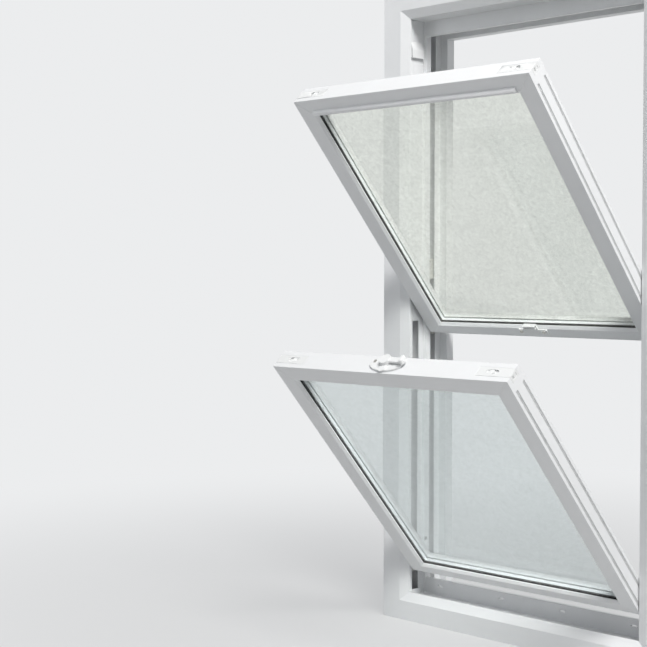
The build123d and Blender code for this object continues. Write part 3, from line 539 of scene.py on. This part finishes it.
def pile_growth():
    """Fibres that stand on the backing's faces, each leaning a little its own way."""
    group = bpy.data.node_groups.new("pile_growth", "GeometryNodeTree")
    group.interface.new_socket("Geometry", in_out="INPUT", socket_type="NodeSocketGeometry")
    for label, kind in (("Density", "NodeSocketFloat"), ("Length", "NodeSocketFloat"),
                        ("Radius", "NodeSocketFloat"), ("Lean", "NodeSocketFloat"),
                        ("Fibre", "NodeSocketMaterial")):
        group.interface.new_socket(label, in_out="INPUT", socket_type=kind)
    group.interface.new_socket("Geometry", in_out="OUTPUT", socket_type="NodeSocketGeometry")
    n, link = group.nodes, group.links.new
    start, end = n.new("NodeGroupInput"), n.new("NodeGroupOutput")
    spread = n.new("GeometryNodeDistributePointsOnFaces")
    spread.inputs["Seed"].default_value = fibre_seed
    link(start.outputs["Geometry"], spread.inputs["Mesh"])
    link(start.outputs["Density"], spread.inputs["Density"])
    fibre = n.new("GeometryNodeMeshCone")
    fibre.fill_type = "NONE"
    fibre.inputs["Vertices"].default_value = 3
    fibre.inputs["Radius Top"].default_value = 0.0
    link(start.outputs["Radius"], fibre.inputs["Radius Bottom"])
    link(start.outputs["Length"], fibre.inputs["Depth"])
    sway = n.new("FunctionNodeRandomValue")
    sway.data_type = "FLOAT_VECTOR"
    back = n.new("ShaderNodeVectorMath")
    back.operation = "SCALE"
    back.inputs[0].default_value = (-1, -1, 0)
    link(start.outputs["Lean"], back.inputs["Scale"])
    forth = n.new("ShaderNodeVectorMath")
    forth.operation = "SCALE"
    forth.inputs[0].default_value = (1, 1, 0)
    link(start.outputs["Lean"], forth.inputs["Scale"])
    link(back.outputs[0], sway.inputs["Min"])
    link(forth.outputs[0], sway.inputs["Max"])
    turn = n.new("FunctionNodeEulerToRotation")
    link(sway.outputs["Value"], turn.inputs["Euler"])
    lean = n.new("FunctionNodeRotateRotation")
    lean.rotation_space = "LOCAL"
    link(spread.outputs["Rotation"], lean.inputs["Rotation"])
    link(turn.outputs["Rotation"], lean.inputs["Rotate By"])
    plant = n.new("GeometryNodeInstanceOnPoints")
    link(spread.outputs["Points"], plant.inputs["Points"])
    link(fibre.outputs["Mesh"], plant.inputs["Instance"])
    link(lean.outputs["Rotation"], plant.inputs["Rotation"])
    real = n.new("GeometryNodeRealizeInstances")
    link(plant.outputs["Instances"], real.inputs["Geometry"])
    dress = n.new("GeometryNodeSetMaterial")
    link(real.outputs["Geometry"], dress.inputs["Geometry"])
    link(start.outputs["Fibre"], dress.inputs["Material"])
    link(dress.outputs["Geometry"], end.inputs["Geometry"])
    return group


def set_inputs(modifier, values):
    for item in modifier.node_group.interface.items_tree:
        if item.item_type == "SOCKET" and item.in_out == "INPUT" and item.name in values:
            modifier[item.identifier] = values[item.name]


def bake(piece):
    """Works the piece's modifiers into its mesh."""
    worked = piece.evaluated_get(bpy.context.evaluated_depsgraph_get())
    mesh = bpy.data.meshes.new_from_object(worked)
    piece.modifiers.clear()
    piece.data = mesh


def box_faces(mesh, low, high, place):
    made = bmesh.ops.create_cube(mesh, size=1.0)
    size = Matrix.Diagonal((*(Vector(high) - Vector(low)), 1))
    middle = Matrix.Translation((Vector(high) + Vector(low)) / 2)
    bmesh.ops.transform(mesh, matrix=place @ middle @ size, verts=made["verts"])


pile_white = matt_rubber("pile_white", (0.74, 0.75, 0.75), 0.85)
backing_grey = matt_rubber("backing_grey", (0.62, 0.63, 0.64), 0.8)
seal_grey = matt_rubber("seal_grey", (0.60, 0.61, 0.62), 0.6)
growth = pile_growth()
for sash in ("lower", "upper"):
    place = sash_frame(sash)
    backing = bmesh.new()
    crown = bmesh.new()
    for side in (-1, 1):
        for deep in pile_places:
            x = side * (sash_half + backing_top)
            x0, x1 = sorted((side * (sash_half + backing_base), x))
            y0, y1 = deep - pile_width / 2, deep + pile_width / 2
            box_faces(backing, (x0, y0, pile_start), (x1, y1, pile_end), place)
            corners = [(x, y0, pile_start), (x, y1, pile_start), (x, y1, pile_end), (x, y0, pile_end)]
            if side < 0:
                corners.reverse()
            crown.faces.new([crown.verts.new(place @ Vector(corner)) for corner in corners])
    near, far = seal_place - seal_width / 2, seal_place + seal_width / 2
    rim = []
    for i in range(seal_steps + 1):
        angle = math.pi * i / seal_steps
        across = seal_place - seal_width / 2 * math.cos(angle)
        rim.append((across, sash_foot - seal_proud * math.sin(angle)))
    outline = [(near, sash_foot + seal_top), *rim, (far, sash_foot + seal_top)]
    ends = [[backing.verts.new(place @ Vector((x, y, z))) for y, z in outline]
            for x in (-seal_half, seal_half)]
    seal_first = len(backing.faces)
    for i in range(len(outline)):
        j = (i + 1) % len(outline)
        backing.faces.new((ends[0][i], ends[1][i], ends[1][j], ends[0][j]))
    backing.faces.new(list(reversed(ends[0])))
    backing.faces.new(ends[1])
    backing.faces.ensure_lookup_table()
    for face in backing.faces[seal_first:]:
        face.material_index = 1
        face.smooth = True
    bmesh.ops.recalc_face_normals(backing, faces=backing.faces)
    strip_mesh = bpy.data.meshes.new(sash + "_strip_backing")
    backing.to_mesh(strip_mesh)
    backing.free()
    strip_mesh.materials.append(backing_grey)
    strip_mesh.materials.append(seal_grey)
    strip = bpy.data.objects.new(sash + "_strip_backing", strip_mesh)
    scene.collection.objects.link(strip)
    crown_mesh = bpy.data.meshes.new(sash + "_pile")
    crown.to_mesh(crown_mesh)
    crown.free()
    pile = bpy.data.objects.new(sash + "_pile", crown_mesh)
    scene.collection.objects.link(pile)
    grow = pile.modifiers.new("fibres", "NODES")
    grow.node_group = growth
    set_inputs(grow, {"Density": fibre_density, "Length": fibre_length, "Radius": fibre_radius,
                      "Lean": fibre_lean, "Fibre": pile_white})
    bake(pile)
    for piece in (strip, pile):
        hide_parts(sash + "_weatherstrips")
        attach(piece, sash + "_sash")

# Tilt latches in the top rails' ends.
# A moulded case let in flush, and in it a sprung bolt with a thumb button. Rounded ribs across the button,
# beside its dimple, give the thumb a hold.

sash_top = 0.537
button_place = 0.041
button_drop = 0.0003
rib_place = -0.0036
rib_count = 4
rib_pitch = 0.0014
rib_radius = 0.00034
rib_span = 0.0056
rib_sides = 12
case_round = 0.0003


def thumb_ribs():
    """A row of rounded ribs along X, each lying along Y."""
    group = bpy.data.node_groups.new("thumb_ribs", "GeometryNodeTree")
    for label, kind in (("Count", "NodeSocketInt"), ("Pitch", "NodeSocketFloat"),
                        ("Radius", "NodeSocketFloat"), ("Span", "NodeSocketFloat"),
                        ("Plastic", "NodeSocketMaterial")):
        group.interface.new_socket(label, in_out="INPUT", socket_type=kind)
    group.interface.new_socket("Geometry", in_out="OUTPUT", socket_type="NodeSocketGeometry")
    n, link = group.nodes, group.links.new
    start, end = n.new("NodeGroupInput"), n.new("NodeGroupOutput")
    step = n.new("ShaderNodeCombineXYZ")
    link(start.outputs["Pitch"], step.inputs["X"])
    row = n.new("GeometryNodeMeshLine")
    link(start.outputs["Count"], row.inputs["Count"])
    link(step.outputs["Vector"], row.inputs["Offset"])
    rib = n.new("GeometryNodeMeshCylinder")
    rib.inputs["Vertices"].default_value = rib_sides
    link(start.outputs["Radius"], rib.inputs["Radius"])
    link(start.outputs["Span"], rib.inputs["Depth"])
    lay = n.new("GeometryNodeInstanceOnPoints")
    lay.inputs["Rotation"].default_value = (math.pi / 2, 0, 0)
    link(row.outputs["Mesh"], lay.inputs["Points"])
    link(rib.outputs["Mesh"], lay.inputs["Instance"])
    real = n.new("GeometryNodeRealizeInstances")
    link(lay.outputs["Instances"], real.inputs["Geometry"])
    dress = n.new("GeometryNodeSetMaterial")
    link(real.outputs["Geometry"], dress.inputs["Geometry"])
    link(start.outputs["Plastic"], dress.inputs["Material"])
    link(dress.outputs["Geometry"], end.inputs["Geometry"])
    return group


latch_plastic = plastic("latch_plastic", (0.78, 0.79, 0.79), 0.4, dust=0.25)
ribs_tree = thumb_ribs()
for sash in ("lower", "upper"):
    for side, way in (("left", -1), ("right", 1)):
        finish_node(sash + "_latch_housing_" + side, latch_plastic, case_round)
        finish_node(sash + "_tilt_latch_" + side, latch_plastic)
        name = sash + "_button_ribs_" + side
        ribs = bpy.data.objects.new(name, bpy.data.meshes.new(name))
        scene.collection.objects.link(ribs)
        grow = ribs.modifiers.new("ribs", "NODES")
        grow.node_group = ribs_tree
        set_inputs(grow, {"Count": rib_count, "Pitch": rib_pitch, "Radius": rib_radius, "Span": rib_span,
                          "Plastic": latch_plastic})
        bake(ribs)
        middle = way * (sash_half - button_place - rib_place) - rib_pitch * (rib_count - 1) / 2
        ribs.data.transform(sash_frame(sash) @ Matrix.Translation((middle, 0, sash_top - button_drop)))
        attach(ribs, sash + "_latch_" + side)

# Sash lock and keeper.
# Die-cast and enamelled white, fixed with two screws each. The screws are pan heads with a cross recess,
# those of the lock turned off square, those of the keeper set from the room side.

sash_face = -0.0185
head_radius = 0.0035
head_height = 0.0018
cross_reach = 0.0019
cross_half = 0.00042
cross_depth = 0.0011
cross_taper = 0.6
head_sides = 32
head_profile = ((1.0, 0.0), (1.0, 0.45), (0.93, 0.75), (0.8, 0.94), (0.66, 1.0))
lock_foot = 0.0015
lock_screw_reach = 0.025
lock_screw_deep = 0.004
lock_screw_turn = math.radians(20)
keeper_foot = 0.0025
keeper_screw_reach = 0.024
keeper_screw_height = 0.012
lock_screw_places = [(x, lock_screw_deep, sash_top + lock_foot)
                     for x in (-lock_screw_reach, lock_screw_reach)]
keeper_screw_places = [(x, sash_face - keeper_foot, keeper_screw_height)
                       for x in (-keeper_screw_reach, keeper_screw_reach)]


def cross_outline(mesh, reach, half, height, place):
    """Corners of a cross, counter-clockwise, its arms along and across."""
    flat = []
    for quarter in range(4):
        turn = Matrix.Rotation(math.pi / 2 * quarter, 2)
        for corner in ((half, -half), (reach, -half), (reach, half)):
            flat.append(turn @ Vector(corner))
    return [mesh.verts.new(place @ Vector((p.x, p.y, height))) for p in flat]


def cross_head(mesh, place):
    """Pan head with a cross recess, standing on the place's XY plane."""
    rings = []
    for out, up in head_profile:
        ring = []
        for i in range(head_sides):
            angle = 2 * math.pi * i / head_sides
            x, y = head_radius * out * math.cos(angle), head_radius * out * math.sin(angle)
            ring.append(mesh.verts.new(place @ Vector((x, y, head_height * up))))
        rings.append(ring)
    for low, high in zip(rings, rings[1:]):
        for i in range(head_sides):
            j = (i + 1) % head_sides
            face = mesh.faces.new((low[i], low[j], high[j], high[i]))
            face.smooth = True
    brim = cross_outline(mesh, cross_reach, cross_half, head_height, place)
    floor = cross_outline(mesh, cross_reach * cross_taper, cross_half * cross_taper,
                          head_height - cross_depth, place)
    loops = []
    for loop in (rings[-1], brim):
        for i in range(len(loop)):
            a, b = loop[i], loop[(i + 1) % len(loop)]
            loops.append(mesh.edges.get((a, b)) or mesh.edges.new((a, b)))
    bmesh.ops.triangle_fill(mesh, use_beauty=True, edges=loops)
    for i in range(len(brim)):
        j = (i + 1) % len(brim)
        mesh.faces.new((brim[i], brim[j], floor[j], floor[i]))
    mesh.faces.new(floor)


def screw_heads(name, sash, places, turn):
    mesh = bmesh.new()
    for spot in places:
        cross_head(mesh, sash_frame(sash) @ Matrix.Translation(spot) @ turn)
    bmesh.ops.recalc_face_normals(mesh, faces=mesh.faces)
    data = bpy.data.meshes.new(name + "_heads")
    mesh.to_mesh(data)
    mesh.free()
    data.materials.append(zinc)
    heads = bpy.data.objects.new(name + "_heads", data)
    scene.collection.objects.link(heads)
    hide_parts(name)
    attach(heads, sash + "_sash")


enamel = plastic("enamel", (0.80, 0.81, 0.81), 0.25, dust=0.2)
finish_node("lock_base", enamel)
finish_node("lock_lever", enamel)
finish_node("lock_keeper", enamel)
screw_heads("lock_screws", "lower", lock_screw_places, Matrix.Rotation(lock_screw_turn, 4, "Z"))
screw_heads("keeper_screws", "upper", keeper_screw_places, Matrix.Rotation(math.pi / 2, 4, "X"))
